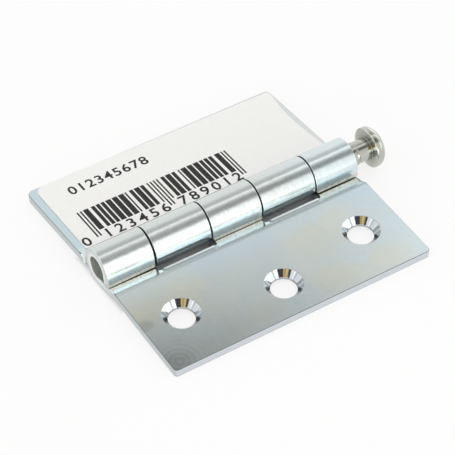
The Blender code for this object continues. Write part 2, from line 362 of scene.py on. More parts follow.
def plate(outline, normals, stations, rim, centres, sink, extra=None):
    """A flat plate with rounded edges and round holes, as (across, along, height) and its normals.

    rim has one row for each line round the edge, with a column for each outline point: inset, height,
    outward and upward part of the normal, stacked last. sink has the same parts for the holes, the same
    all round, with the radius instead of the inset. extra adds points to both faces. The last result
    numbers each point's rim row, or its hole row as -1, -2 and so on.
    """
    count = len(outline)
    inset, height, out, up = np.broadcast_to(rim, (len(rim), count, 4)).transpose(2, 0, 1)
    edge = outline[None] - inset[..., None] * normals[None]
    edge_points = np.concatenate([edge, height[..., None]], axis=2)
    edge_normals = np.concatenate([out[..., None] * normals[None], up[..., None]], axis=2)
    points = [edge_points.reshape(-1, 3)]
    directions = [edge_normals.reshape(-1, 3)]
    quads = [wall_quads(0, len(rim), 1, count)]
    rows = [np.repeat(np.arange(len(rim)), count)]
    total = len(rim) * count
    holes = len(centres)
    extra = np.empty((0, 2)) if extra is None else extra
    for row, facing in ((0, 1.0), (len(rim) - 1, -1.0)):
        points.append(np.column_stack([extra, np.full(len(extra), height[row, 0])]))
        directions.append(np.tile([0.0, 0.0, facing], (len(extra), 1)))
        rows.append(np.full(len(extra), row))
    total += 2 * len(extra)
    if holes:
        angle = -np.arange(HOLE_STEPS) * 2 * math.pi / HOLE_STEPS
        ring = np.stack([np.cos(angle), np.sin(angle)], axis=1)
        radius, height, out, up = sink.T
        hole = centres[None, :, None, :] + radius[:, None, None, None] * ring[None, None]
        shape = (len(sink), holes, HOLE_STEPS, 1)
        hole_points = np.concatenate([hole, np.broadcast_to(height[:, None, None, None], shape)], axis=3)
        inward = np.broadcast_to(-out[:, None, None, None] * ring[None, None], hole.shape)
        hole_normals = np.concatenate([inward, np.broadcast_to(up[:, None, None, None], shape)], axis=3)
        points.append(hole_points.reshape(-1, 3))
        directions.append(hole_normals.reshape(-1, 3))
        quads.append(wall_quads(total, len(sink), holes, HOLE_STEPS))
        rows.append(np.repeat(-1 - np.arange(len(sink)), holes * HOLE_STEPS))
    triangles = []
    for row, hole_row in ((0, 0), (len(rim) - 1, len(sink) - 1 if holes else 0)):
        first = len(rim) * count + (len(extra) if row else 0)
        index = [row * count + np.arange(count), first + np.arange(len(extra))]
        borders = [loop_edges(0, count), cross_lines(edge[row], stations)]
        flat = [edge[row], extra]
        radius = 0
        if holes:
            index.append(total + hole_row * holes * HOLE_STEPS + np.arange(holes * HOLE_STEPS))
            before = count + len(extra)
            borders += [loop_edges(before + number * HOLE_STEPS, HOLE_STEPS) for number in range(holes)]
            flat.append(hole[hole_row].reshape(-1, 2))
            radius = sink[hole_row, 0]
        cover = filled(np.concatenate(flat), np.concatenate(borders), centres, radius)
        cover = np.concatenate(index)[cover]
        triangles.append(cover if row == 0 else cover[:, ::-1])
    return (
        np.concatenate(points),
        np.concatenate(directions),
        quads + triangles,
        np.concatenate(rows),
    )


def quarter(steps):
    """Cosine and sine of a quarter turn."""
    angle = np.linspace(0, math.pi / 2, steps + 1)
    return np.cos(angle), np.sin(angle)


def edge_rows(low, high, inward, down, lower, steps, scale=1.0):
    """Rim of a plate: a quarter of an ellipse at the upper face, scaled at each point, and a round below."""
    cos, sin = (part[:, None] for part in quarter(steps))
    out, up = sin / inward, cos / down
    size = np.hypot(out, up)
    whole = np.ones_like(scale)
    above = [inward * scale * (1 - sin), high - down * scale * (1 - cos), out / size, up / size]
    below = [lower * (1 - cos), low + lower * (1 - sin), cos, -sin]
    return np.concatenate([np.stack([whole * part for part in parts], axis=2) for parts in (above, below)])


def smooth(value, low, high):
    """Smooth step from 0 at low to 1 at high."""
    share = np.clip((value - low) / (high - low), 0, 1)
    return share * share * (3 - 2 * share)


# The bent sheet


class Bend:
    """The sheet's path from a leaf's outer edge over the fold and crank and round the bore."""

    def __init__(self, sizes, side=NEAR):
        self.thickness = sizes.thickness
        self.width = sizes.width
        self.crank = sizes.crank
        bore = sizes.bore / 2
        self.outer = bore + sizes.thickness
        self.ring = bore + sizes.thickness / 2
        self.drop = sizes.closed_gap / 2 + sizes.thickness / 2
        self.fold = sizes.crank_radius + sizes.thickness / 2
        corner = (self.ring - self.drop * math.cos(self.crank)) / math.sin(self.crank)
        self.fold_start = corner + self.fold * math.tan(self.crank / 2)
        reach = math.hypot(self.outer, sizes.straight_end)
        lean = math.asin((bore - sizes.seam_gap) / reach) - math.atan2(sizes.straight_end, self.outer)
        self.turned = math.pi - self.crank + lean + math.pi / 2 + self.crank
        # Places along the sheet where the fold starts and ends, and where the roll starts and ends
        self.fold_foot = self.fold_start - self.fold * math.sin(self.crank)
        self.slope = (self.fold_foot - self.ring * math.sin(self.crank)) / math.cos(self.crank)
        self.start = self.width - self.fold_start
        self.fold_end = self.start + self.fold * self.crank
        self.roll_start = self.fold_end + self.slope
        self.roll_end = self.roll_start + self.ring * self.turned
        self.total = self.roll_end + sizes.straight_end
        self.straight_end = sizes.straight_end
        clearance = sizes.notch_clearance if side == NEAR else sizes.far_clearance
        self.root = self.along_for(self.outer + clearance)
        self.torn = sizes.torn
        self.spread = sizes.spread
        # The droop that lays the barrel and the rounded outer edge on one plane
        across = self.width - REST_EDGE
        down = sizes.closed_gap / 2 + sizes.thickness - REST_EDGE
        lever = math.hypot(across, down)
        self.droop = math.asin((self.outer - REST_EDGE) / lever) - math.atan2(down, across)

    def stations(self):
        """Places along the sheet where its bend needs points: through fold, crank, roll and torn end."""
        fold = np.linspace(self.start, self.fold_end, FOLD_STEPS + 1)
        steps = math.ceil(self.turned / RING_STEP)
        roll = np.linspace(self.roll_start, self.roll_end, steps + 1)
        tail = self.total - self.torn * np.array([1.05, 0.9, 0.7, 0.5])
        return np.concatenate([fold, self.notch_rows(), roll, tail])

    def notch_rows(self):
        """Places along the sheet between the fold's end and the notches, which are left free by a little."""
        free = 0.0006
        return np.linspace(self.fold_end, self.root - free, 4)[1:]

    def along_for(self, distance):
        """Place along the sheet of a point on the crank that lies this far from the axis."""
        return self.fold_end + (self.fold_foot - distance) / math.cos(self.crank)

    def torn_end(self, points, normals):
        """Thickens the sheet towards the roll's end on its outer face.

        The added share grows as the square of the place and then straight. Height is spread from the
        inner face by that share, and normals follow by the inverse transpose of the spread.
        """
        half = self.thickness / 2
        share = np.clip((points[:, 1] - self.total + self.torn) / self.torn, 0, 1)
        soft = 0.25
        grown = np.where(share < soft, share**2 / (2 * soft), share - soft / 2) / (1 - soft / 2)
        rate = np.where(share < soft, share / soft, 1.0) / (1 - soft / 2) / self.torn
        size = 1 + grown * self.spread / self.thickness
        slope = rate * self.spread / self.thickness
        down = half - points[:, 2]
        spread = points.copy()
        spread[:, 2] = half - down * size
        turned = normals.copy()
        turned[:, 1] += down * slope / size * normals[:, 2]
        turned[:, 2] /= size
        return spread, turned / np.linalg.norm(turned, axis=1, keepdims=True)

    def curled(self, points, normals, sides, reach, angle):
        """Lifts the sheet behind the notches, which have these sides, where nothing pulls it down.

        The lift is the crank's own fall, taken back, and a curl whose slope grows evenly up to the
        notch's edge, and it fades out towards the strips. Normals lean back by the lift's slope in each
        direction.
        """
        across, along = points[:, 0], points[:, 1]
        soft = (self.fold_end - self.start) / 2
        past = along - self.start
        taken = np.where(past < 2 * soft, np.maximum(past, 0) ** 2 / (4 * soft), past - soft)
        taken_rate = np.clip(past / (2 * soft), 0, 1)
        begin = self.start + 0.2 * (self.fold_end - self.start)
        curl = math.tan(angle) / (self.root - begin)
        grown = np.maximum(along - begin, 0)
        lift = math.tan(self.crank) * taken + curl * grown**2 / 2
        lift_rate = math.tan(self.crank) * taken_rate + curl * grown
        share, share_rate = np.zeros_like(across), np.zeros_like(across)
        for left, right in sides:
            first = np.clip((across - left) / reach, 0, 1)
            last = np.clip((right - across) / reach, 0, 1)
            share += first**2 * (3 - 2 * first) * (last**2 * (3 - 2 * last))
            share_rate += 6 * (first * (1 - first) * (last > 0) - last * (1 - last) * (first > 0)) / reach
        lifted = points.copy()
        lifted[:, 2] += share * lift
        turned = normals.copy()
        turned[:, 0] -= share_rate * lift * normals[:, 2]
        turned[:, 1] -= share * lift_rate * normals[:, 2]
        return lifted, turned / np.linalg.norm(turned, axis=1, keepdims=True)

    def stretched(self, points, more):
        """Lengthens the roll's straight end by the given amount at each point."""
        longer = points.copy()
        longer[:, 1] += more * np.clip((points[:, 1] - self.roll_end) / self.straight_end, 0, 1)
        return longer

    def bent(self, points, normals):
        """Carries (across, along, height) onto the bent sheet.

        The middle line goes level, along an arc down to the crank's slope, straight down the slope,
        round the ring and straight on, and height is measured square to it.
        """
        across, along, height = points.T
        fold = np.clip((along - self.start) / self.fold, 0, self.crank)
        roll = np.clip((along - self.roll_start) / self.ring, 0, self.turned)
        level = np.minimum(along, self.start)
        slope = np.clip(along - self.fold_end, 0, self.slope)
        tail = np.maximum(along - self.roll_end, 0)
        heading = roll - fold
        last = self.turned - self.crank
        y = -self.width + level + self.fold * np.sin(fold) + slope * math.cos(self.crank)
        y += self.ring * (np.sin(roll - self.crank) + math.sin(self.crank)) + tail * math.cos(last)
        z = -self.drop - self.fold * (1 - np.cos(fold)) - slope * math.sin(self.crank)
        z += self.ring * (math.cos(self.crank) - np.cos(roll - self.crank)) + tail * math.sin(last)
        cos, sin = np.cos(heading), np.sin(heading)
        placed = np.stack([across, y - height * sin, z + height * cos], axis=1)
        out, ahead, up = normals.T
        directed = np.stack([out, ahead * cos - up * sin, ahead * sin + up * cos], axis=1)
        return placed, directed


def on_bench(points, normals, side, droop):
    """Turns a leaf drawn towards -Y about the barrel's axis until its edge rests, the far one half round."""
    cos, sin = math.cos(droop), math.sin(droop)
    lay = np.array([[1, 0, 0], [0, cos, -sin], [0, sin, cos]])
    if side == FAR:
        lay = np.diag([-1, -1, 1]) @ lay
    return points @ lay.T + axis_place(), normals @ lay.T


def axis_place():
    """Where the barrel's axis lies: the anchor of the joint that swings the leaf."""
    swing = next(joint for joint in frame["joints"] if joint["name"] == "leaf_swing")
    return np.array(swing["pos_m"])


def places_of_joints(sizes):
    """Places of the joints along the barrel: running sums of the knuckles' lengths about its middle."""
    lengths = np.array(sizes.knuckle_lengths)
    return np.concatenate([[0], np.cumsum(lengths)]) - lengths.sum() / 2


def leaf_outline(sizes, bend, side):
    """Outline of the flat blank: the plate with its strips that are rolled into knuckles."""
    joints = places_of_joints(sizes)
    play = sizes.knuckle_gap / 2
    strips = []
    for number in (0, 2, 4) if side == NEAR else (1, 3):
        strips.append((joints[number] + play * (number > 0), joints[number + 1] - play * (number < 4)))
    if side == FAR:
        strips = [(-right, -left) for left, right in strips][::-1]
    rolled = []
    for left, right in reversed(strips):
        rolled += [(right, bend.root), (right, bend.total), (left, bend.total), (left, bend.root)]
    radii = [sizes.notch_corner, STRIP_CORNER, STRIP_CORNER, sizes.notch_corner] * len(strips)
    back_left = sizes.corner
    if side == NEAR:
        # The outer strips are flush with the leaf's ends
        rolled, radii = rolled[1:-1], radii[1:-1]
    else:
        rolled = [(joints[-1], bend.root), *rolled, (joints[0], bend.root)]
        radii = [STRIP_CORNER, *radii, STRIP_CORNER]
        back_left = sizes.soft_corner
    corners = [(joints[0], 0), (joints[-1], 0), *rolled]
    return rounded_loop(corners, [sizes.corner, back_left, *radii], CORNER_STEPS)


def rollover_scale(outline, normals, sizes, bend, side):
    """How large the rollover is at each outline point, as a share of the stated one.

    It is small along the leaf's outer edges and round the bore, larger along the notches, and largest
    where a strip's sides go down the crank, most of all at the near leaf's right end.
    """
    across, along = outline.T
    end = places_of_joints(sizes)[-1] - AT_END / 2
    crank = smooth(along, bend.start, bend.fold_end) - smooth(along, bend.roll_start, bend.roll_start + 0.002)
    plain, at_notch, at_crank = 0.35, 0.25, 1.0
    if side == NEAR:
        left_end, middle, right_end = 0.6, 1.2, 2.9
        at_crank = np.select([across < -end, across > end], [left_end, right_end], middle)
    notch = np.maximum(normals[:, 1], 0) ** 2 * (along < bend.root + PAST_EDGE)
    return plain + at_crank * crank * normals[:, 0] ** 2 + at_notch * notch


def sink_rows(sizes):
    """Wall profile of a screw hole: crisp rim, cone, short land, small round below."""
    half = sizes.thickness / 2
    rim, hole = sizes.sink / 2, sizes.hole / 2
    lean = sizes.sink_angle / 2
    # How far the crisp edges are broken
    small = 0.00008
    depth = (rim - hole) / math.tan(lean)
    cone_out, cone_up = math.cos(lean), math.sin(lean)
    cos, sin = quarter(3)
    return np.array(
        [
            (rim + small, half, 0, 1),
            (rim, half - small * 0.35, *unit(cone_out, 1 + cone_up)),
            (rim - small * cone_up, half - small * cone_up - small * 0.3, cone_out, cone_up),
            (hole + small * cone_up, half - depth + small * cone_out, cone_out, cone_up),
            (hole, half - depth - small, 1, 0),
            *[
                (hole + small * (1 - c), -half + small * (1 - s), c, -s)
                for c, s in zip(cos, sin)
            ],
        ]
    )


def unit(*parts):
    """The parts of a direction over its length."""
    size = math.hypot(*parts)
    return tuple(part / size for part in parts)


def wandered(outline, normals, sizes, bend, side):
    """Moves the knuckles' sides a little into the knuckles.

    The shift is a sine of the place along the roll, from nothing at its start, with its own phase at each
    side. Knuckle 1 is drawn in further at the front of its joint.
    """
    across = outline[:, 0]
    joints = places_of_joints(sizes)
    place = (outline[:, 1] - bend.roll_start) / (bend.roll_end - bend.roll_start)
    begun = smooth(place, 0, 0.1)
    # Radians of the wave along the roll, and the phase's step for each stretch of this width along the barrel
    waves = 9
    phase_step, phase_width = 2.1, 0.004
    beside = 0.003
    phase = phase_step * np.round(across / phase_width)
    wander = 1 + np.sin(waves * place + phase) * begun
    beside_first = (side == NEAR) * (np.abs(across - joints[1]) < beside)
    shift = begun * (sizes.wave * wander + DRAWN_IN * smooth(place, 0.6, 0.8) * beside_first)
    joint_side = (np.abs(normals[:, 0]) > 0.9) & (np.abs(across) < joints[-1] - AT_END)
    moved = outline.copy()
    moved[:, 0] -= np.sign(normals[:, 0]) * joint_side * shift
    return moved


def hole_centres(sizes):
    """Middles of the three screw holes, as (across, along)."""
    joints = places_of_joints(sizes)
    inset = sizes.end_hole_inset
    inner, outer = sizes.width - sizes.inner_hole, sizes.width - sizes.outer_hole
    return np.array([(joints[0] + inset, inner), (0, outer), (joints[-1] - inset, inner)])


def notch_sides(sizes, side):
    """Left and right side of each notch, which is far off where the notch is open at a leaf's end."""
    joints = places_of_joints(sizes)
    far_off = 1.0
    if side == NEAR:
        return [(joints[1], joints[2]), (joints[3], joints[4])]
    return [(-joints[1], far_off), (-joints[3], -joints[2]), (-far_off, -joints[4])]


def notch_grid(notches, sizes, bend):
    """Points for both faces behind the notches: rows along the sheet, and columns close beside the strips."""
    steps = sizes.notch_reach * np.array([0, 0.2, 0.4, 0.6, 0.8, 1.1])
    columns = np.concatenate([side + steps * way for notch in notches for side, way in zip(notch, (1, -1))])
    columns = columns[np.abs(columns) < places_of_joints(sizes)[-1] - AT_END / 2]
    levels = np.concatenate([bend.stations()[: FOLD_STEPS + 1], bend.notch_rows()])
    return np.stack(np.meshgrid(columns, levels), axis=-1).reshape(-1, 2)


def leaf_layers(points, directions, rows, sizes, bend):
    """Attributes of the flat leaf's points that say how each face was made, for its finish."""
    across, along, height = points.T
    middle = ROUND_STEPS + 1
    wall = (rows == middle - 1) | (rows == middle)
    end_wall = wall & (np.abs(directions[:, 0]) > 0.7)
    inside = np.abs(across) < places_of_joints(sizes)[-1] - AT_END
    # Painted shade on the knuckles' sides inside the joints, and a dark line on the upper rounding of the
    # outer edges
    joint_wall = end_wall & (along > bend.roll_start) & inside
    pressed = (rows > 0) & (rows < middle - 1) & (along < bend.start + PAST_EDGE)
    cone = (rows < -1) & (rows > -len(sink_rows(sizes)))
    return {
        "sheared": wall,
        "end_wall": end_wall,
        "notch_wall": wall & (directions[:, 1] > 0.3) & (along < bend.root + PAST_EDGE),
        "dark_line_and_shade": joint_wall | pressed,
        "cone": cone,
        "cone_way": directions * np.array([1, 1, 0]) * cone[:, None],
        "cut_end": smooth(along, bend.total - bend.torn, bend.total - 0.8 * bend.torn) * (height < 0),
        "bore_wall": (along > bend.roll_start - BEFORE_ROLL) & (height > 0),
    }


def make_leaf(name, side, sizes, material):
    """One leaf: a blank with strips, holes and rounded edges, bent by Bend and laid on the bench."""
    bend = Bend(sizes, side)
    stations = bend.stations()
    outline, normals = with_stations(*leaf_outline(sizes, bend, side), stations)
    outline = wandered(outline, normals, sizes, bend, side)
    half = sizes.thickness / 2
    scale = rollover_scale(outline, normals, sizes, bend, side)
    rim = edge_rows(-half, half, sizes.rollover, sizes.rollover_depth, sizes.lower_round, ROUND_STEPS, scale)
    notches = notch_sides(sizes, side)
    grid = notch_grid(notches, sizes, bend)
    points, directions, faces, rows = plate(
        outline, normals, stations, rim, hole_centres(sizes), sink_rows(sizes), grid
    )
    layers = leaf_layers(points, directions, rows, sizes, bend)
    points, directions = bend.torn_end(points, directions)
    flat = points[:, 2]
    curl = sizes.notch_curl if side == NEAR else 0
    points, directions = bend.curled(points, directions, notches, sizes.notch_reach, curl)
    layers["lifted"] = (points[:, 2] - flat) / FULL_LIFT * (curl > 0)
    if side == NEAR:
        points = bend.stretched(points, sizes.stretch * seam_closed(points[:, 0]))
    points, directions = on_bench(*bend.bent(points, directions), side, bend.droop)
    return put_mesh(name, points, faces, directions, material, layers)


def seam_closed(across):
    """How far the near leaf's seam is closed along the barrel, from 0 where it gapes to 1.

    It closes towards the left end of knuckle 1, and all along knuckle 3, with a wave about every 2.4 mm.
    """
    # Places are measured from the barrel's middle
    first = 1 - smooth(across, -0.0350, -0.0285)
    third = smooth(np.abs(across), 0.0095, 0.0080) * (0.9 + 0.1 * np.sin(across * 2600))
    return np.maximum(first, third)


# The pin


def carried_round(rows):
    """Rows of (place, radius), or of a normal's two parts, at each step of a full turn about X."""
    angle = np.arange(TURNED_STEPS) * 2 * math.pi / TURNED_STEPS
    place, radius = rows.T[..., None]
    turned = [place + 0 * angle, radius * np.cos(angle), radius * np.sin(angle)]
    return np.stack(turned, axis=-1).reshape(-1, 3)


def lathe(profile, normals):
    """Surface turned about X: place and radius of each profile row carried round, with closed poles."""
    points = np.concatenate([carried_round(profile[1:-1]), [(profile[end, 0], 0, 0) for end in (0, -1)]])
    directions = np.concatenate([carried_round(normals[1:-1]), [(1, 0, 0), (-1, 0, 0)]])
    rows = len(profile) - 2
    index = np.arange(TURNED_STEPS)
    after = (index + 1) % TURNED_STEPS
    top, tip = np.full((2, TURNED_STEPS), len(points)) - [[2], [1]]
    last = (rows - 1) * TURNED_STEPS
    caps = np.hstack([(index, after, top), (last + after, last + index, tip)]).T
    return points, directions, [wall_quads(0, rows, 1, TURNED_STEPS), caps]


def neck_shade_share(points, sizes):
    """How deep each point of the pin lies in the corner under its head, from 0 to 1, which sets the painted
    shade there.
    """
    radius = np.hypot(points[:, 1], points[:, 2])
    below_head = points[:, 0] < sizes.seat_play + MM / 100
    near_head = smooth(points[:, 0], -sizes.neck_shade_reach, 0)
    return below_head * near_head * (1 - smooth(radius, sizes.diameter / 2, 0.4 * sizes.head))


def pin_outline(sizes):
    """Rows of (place from the seat, radius) and normals of the pin, from the dome's top to the tip.

    The dome is a quarter of an ellipse, edge and neck are quarter rounds, and the ring on the shank is
    the square of a sine.
    """
    head, shank = sizes.head / 2, sizes.diameter / 2
    angle = np.linspace(math.pi / 2, 0, DOME_STEPS + 1)
    slope = np.stack([np.sin(angle) / sizes.dome, np.cos(angle) / head], axis=1)
    slope /= np.linalg.norm(slope, axis=1, keepdims=True)
    dome = np.stack([sizes.rim + sizes.dome * np.sin(angle), head * np.cos(angle)], axis=1)
    cos, sin = quarter(ROUND_STEPS)
    edge = np.stack([sizes.seat_play + sizes.edge * (1 - sin), head - sizes.edge * (1 - cos)], axis=1)
    edge_normals = np.stack([-sin, cos], axis=1)
    neck = np.stack([sizes.seat_play - sizes.fillet * (1 - cos), shank + sizes.fillet * (1 - sin)], axis=1)
    neck_normals = np.stack([-cos, sin], axis=1)
    share = np.linspace(0, 1, 13)
    wave = sizes.ring_height * np.sin(math.pi * share) ** 2
    ring = np.stack([sizes.ring_width * (0.5 - share) - sizes.ring_place, shank + wave], axis=1)
    rise = sizes.ring_height * math.pi * np.sin(2 * math.pi * share) / sizes.ring_width
    ring_normals = np.stack([rise, np.ones_like(rise)], axis=1)
    ring_normals /= np.linalg.norm(ring_normals, axis=1, keepdims=True)
    # How far the chamfer's edges are broken, along a face and along both directions of the slant
    soft, cut, slant = 0.0001, 0.00007, 0.7071
    tip = np.array(
        [
            (sizes.chamfer - sizes.total + soft, shank),
            (sizes.chamfer - sizes.total - cut, shank - cut),
            (-sizes.total + cut, shank - sizes.chamfer + cut),
            (-sizes.total, shank - sizes.chamfer - soft),
            (-sizes.total, 0),
        ]
    )
    tip_normals = np.array([(0, 1), (-slant, slant), (-slant, slant), (-1, 0), (-1, 0)])
    plain = np.array([(-sizes.neck_shade_reach / 2, shank), (-sizes.neck_shade_reach, shank)])
    plain_normals = np.array([(0, 1), (0, 1)])
    profile = np.concatenate([dome, edge, neck, plain, ring, tip])
    normals = np.concatenate([slope, edge_normals, neck_normals, plain_normals, ring_normals, tip_normals])
    return profile, normals


# The label


def label_frame(leaf, label):
    """Middle, half size and height of the paper in the far leaf's own frame."""
    half = sum(leaf.knuckle_lengths) / 2
    bend = Bend(leaf)
    left, right = label.left - half, half - label.right
    front, back = bend.fold_start - label.overlap, leaf.width - label.back
    return (
        np.array([(left + right) / 2, (front + back) / 2, label.gap - leaf.closed_gap / 2]),
        (right - left) / 2,
        (back - front) / 2,
        bend.droop,
    )


def on_far_leaf(points, normals, middle, askew, droop):
    """Lays points drawn about the paper's middle on the far leaf, and the leaf on the bench."""
    cos, sin = math.cos(askew), math.sin(askew)
    twist = np.array([[cos, -sin, 0], [sin, cos, 0], [0, 0, 1]])
    half_round = np.diag([-1, -1, 1])
    placed = (points @ twist.T + middle) @ half_round.T
    directed = normals @ twist.T @ half_round.T
    return on_bench(placed, directed, FAR, droop)


def box_solid(left, right, front, back, low, high):
    """Corners and quads of many upright boxes at once, one for each row of the arrays."""
    count = len(left)
    x = np.stack([left, right, right, left] * 2, axis=1)
    y = np.stack([front, front, back, back] * 2, axis=1)
    z = np.repeat([[low] * 4 + [high] * 4], count, axis=0)
    points = np.stack([x, y, z], axis=-1).reshape(-1, 3)
    one = np.array([(0, 3, 2, 1), (4, 5, 6, 7), (0, 1, 5, 4), (1, 2, 6, 5), (2, 3, 7, 6), (3, 0, 4, 7)])
    quads = (one[None] + 8 * np.arange(count)[:, None, None]).reshape(-1, 4)
    return points, quads


def digit_solid(digit, height, thickness):
    """One digit of the built-in font as a thin solid, its points and its triangles."""
    curve = bpy.data.curves.new("digit", "FONT")
    curve.body = digit
    curve.size = height / DIGIT_SHARE
    curve.align_x = "CENTER"
    curve.extrude = thickness / 2
    curve.offset = DIGIT_WEIGHT
    curve.resolution_u = 3
    holder = bpy.data.objects.new("digit", curve)
    bpy.context.scene.collection.objects.link(holder)
    bpy.context.view_layer.update()
    mesh = bpy.data.meshes.new_from_object(holder.evaluated_get(bpy.context.evaluated_depsgraph_get()))
    mesh.calc_loop_triangles()
    points = np.empty(len(mesh.vertices) * 3)
    mesh.vertices.foreach_get("co", points)
    triangles = np.empty(len(mesh.loop_triangles) * 3, dtype=np.int32)
    mesh.loop_triangles.foreach_get("vertices", triangles)
    bpy.data.objects.remove(holder)
    bpy.data.curves.remove(curve)
    bpy.data.meshes.remove(mesh)
    return points.reshape(-1, 3), triangles.reshape(-1, 3)


def number_row(text, starts, front, height, thickness):
    """A row of digits, each centred on its own place."""
    points, triangles, total = [], [], 0
    for digit, place in zip(text, starts):
        corner, face = digit_solid(digit, height, thickness)
        points.append(corner + np.array([place, front, thickness / 2]))
        triangles.append(face + total)
        total += len(corner)
    return np.concatenate(points), np.concatenate(triangles)


def bar_places():
    """Left edge and width of each bar in modules, and which bars are the longer guards.

    The widths of bars and gaps between the guards are made up and spell no code.
    """
    half = [1, 3, 2, 2, 1, 2, 1, 2, 1, 3, 1, 3, 1, 3, 1, 1, 2, 2, 1, 3, 1, 2, 2, 1]
    widths = np.array([1, 1, 1] + half + [1, 1, 1, 1, 1] + half[::-1] + [1, 1, 1])
    edges = np.concatenate([[0], np.cumsum(widths)])
    left, right = edges[:-1:2], edges[1::2]
    middle = edges[-1] / 2
    guards = (left < 3) | (right > edges[-1] - 3) | (np.abs((left + right) / 2 - middle) < 2)
    return left, right - left, guards


def make_paper(leaf, label, material):
    """The paper: a flat plate with rounded corners, its right edge flared at the back and bowed in.

    Both grow as the eighth power of the way to the right edge. The flare is a smooth step towards the
    back, and the bow is a parabola over the middle three quarters.
    """
    middle, across, along, droop = label_frame(leaf, label)
    corners = [(-across, -along), (across, -along), (across, along), (-across, along)]
    radii = [label.corner] * 3 + [label.soft_corner]
    stations = np.linspace(-along + label.corner, along - label.soft_corner, 16)[1:-1]
    outline, normals = with_stations(*rounded_loop(corners, radii, CORNER_STEPS), stations)
    edge = label.thickness / 4
    rim = edge_rows(0, label.thickness, edge, edge, edge, 2)
    points, directions, faces, _ = plate(outline, normals, stations, rim, np.empty((0, 2)), None)
    at_right = np.clip(points[:, 0] / across, 0, 1) ** 8
    back = points[:, 1] / along
    bowed = label.bow * np.clip(1 - (back / 0.75) ** 2, 0, 1)
    points[:, 0] += at_right * (label.flare * smooth(back, 0.35, 1.0) - bowed)
    points, directions = on_far_leaf(points, directions, middle, label.askew, droop)
    return put_mesh("label_paper", points, faces, directions, material)


def make_print(leaf, label, ink, material):
    """The print: thin bars and digits on the paper, placed from the barrel's left end and its axis."""
    middle, _, _, droop = label_frame(leaf, label)
    left_end = -sum(leaf.knuckle_lengths) / 2 - middle[0]
    low, high = label.thickness, label.thickness + ink.height
    left, width, guards = bar_places()
    wide = width > 1
    left_edge = left_end + ink.bars_left + left * ink.module - ink.spread * wide
    right_edge = left_edge + width * ink.module + 2 * ink.spread * wide - ink.shrink
    front = np.where(guards, ink.guards_front, ink.bars_front) - middle[1]
    back = np.full(len(left), ink.bars_back) - middle[1]
    bars, quads = box_solid(left_edge, right_edge, front, back, low - ink.height, high)
    upper = left_end + ink.upper_left + ink.upper_pitch * np.arange(len(ink.upper_number))
    six = np.arange(6)
    halves = [ink.lower_left + ink.lower_pitch * six, ink.lower_middle + ink.lower_end_pitch * six]
    lower = left_end + np.concatenate([[ink.lower_first], *halves])
    rows = (
        (ink.upper_number, upper, ink.upper_front - middle[1], ink.upper_height, ink.height),
        (ink.lower_number, lower, ink.lower_front - middle[1], ink.lower_height, ink.height),
    )
    points, faces, total = [bars], [quads], len(bars)
    for row in rows:
        corners, triangles = number_row(*row)
        points.append(corners + np.array([0, 0, low]))
        faces.append(triangles + total)
        total += len(corners)
    corners = np.concatenate(points)
    placed, _ = on_far_leaf(corners, np.zeros_like(corners), middle, label.askew, droop)
    return put_mesh("label_print", placed, faces, None, material)


# Materials


def add_node(tree, kind, inputs=(), output=0, **settings):
    """Adds one node and gives one of its outputs. Inputs are in order, named or numbered, set or linked."""
    made = tree.nodes.new("ShaderNode" + kind)
    for key, value in settings.items():
        setattr(made, key, value)
    for key, value in inputs.items() if isinstance(inputs, dict) else enumerate(inputs):
        if isinstance(value, bpy.types.NodeSocket):
            tree.links.new(value, made.inputs[key])
        else:
            made.inputs[key].default_value = value
    return made.outputs[output] if len(made.outputs) else None


def new_material(name):
    """An empty node material, and add_node for its tree."""
    material = bpy.data.materials.new(name)
    material.use_nodes = True
    material.node_tree.nodes.clear()
    return material, partial(add_node, material.node_tree)


def rise_and_fall(node, value, start, full, held, end, most=1):
    """A value that rises to most between start and full, and falls to 0 again between held and end."""
    rise = node("MapRange", (value, start, full, 0, most))
    fall = node("MapRange", (value, held, end, 1, 0))
    return node("Math", (rise, fall), operation="MULTIPLY")


def squared_distance(node, places, centre, size=(1, 1)):
    """Square of the distance from a centre, counted in half sizes. Centre and half sizes are in mm."""
    squares = []
    for place, middle, half in zip(places, centre, size):
        off = node("Math", (place, 1 / (half * MM), -middle / half), operation="MULTIPLY_ADD")
        squares.append(node("Math", (off, off), operation="MULTIPLY"))
    return node("Math", squares, operation="ADD")


def spotted(node, level, across, along, spots):
    """Adds soft spots to a level: each is its power times a smooth fall over its half sizes."""
    for centre, size, power in spots:
        off = squared_distance(node, (across, along), centre, size)
        spot = node("MapRange", (off, 0, 1, power, 0), interpolation_type="SMOOTHSTEP")
        level = node("Math", (level, spot), operation="ADD")
    return level


def painted(node, tint, *coats):
    """Lays colours over a tint in order, each as far as its share says."""
    for share, coat in coats:
        tint = node("Mix", {0: share, 6: tint, 7: coat}, 2, data_type="RGBA")
    return tint


# Spots on the near leaf's face, in mm from the middle of the barrel: centre, half size and strength
STRAW_SPOTS = (
    ((16, -20), (10, 9), 0.40),
    ((31, -36), (8, 6), 0.60),
    ((-9, -35), (8, 6), 0.30),
    ((13, -35), (9, 6), 0.45),
    ((26, -14), (6, 5), 0.35),
    ((-22, -18), (6, 7), 0.20),
    ((22, -30), (5, 5), -0.55),
    ((-34, -34), (16, 14), -0.75),
    ((1, -36), (6, 5), -0.35),
    ((-4, -14), (16, 4), -0.20),
)
# Spots of painted shade near the leaf's left end, laid with the fall towards the front left corner
SHADE_SPOTS = (
    ((-39, -23), (3.5, 2.5), -0.14),
    ((-39, -38), (7, 5), -0.06),
)
# Middle of the turning marks on the near leaf, in mm, and how many radians of their wave fit in 1 mm
MARKS_CENTRE = (-37.4, -37.9)
MARKS_WAVE = 4.2


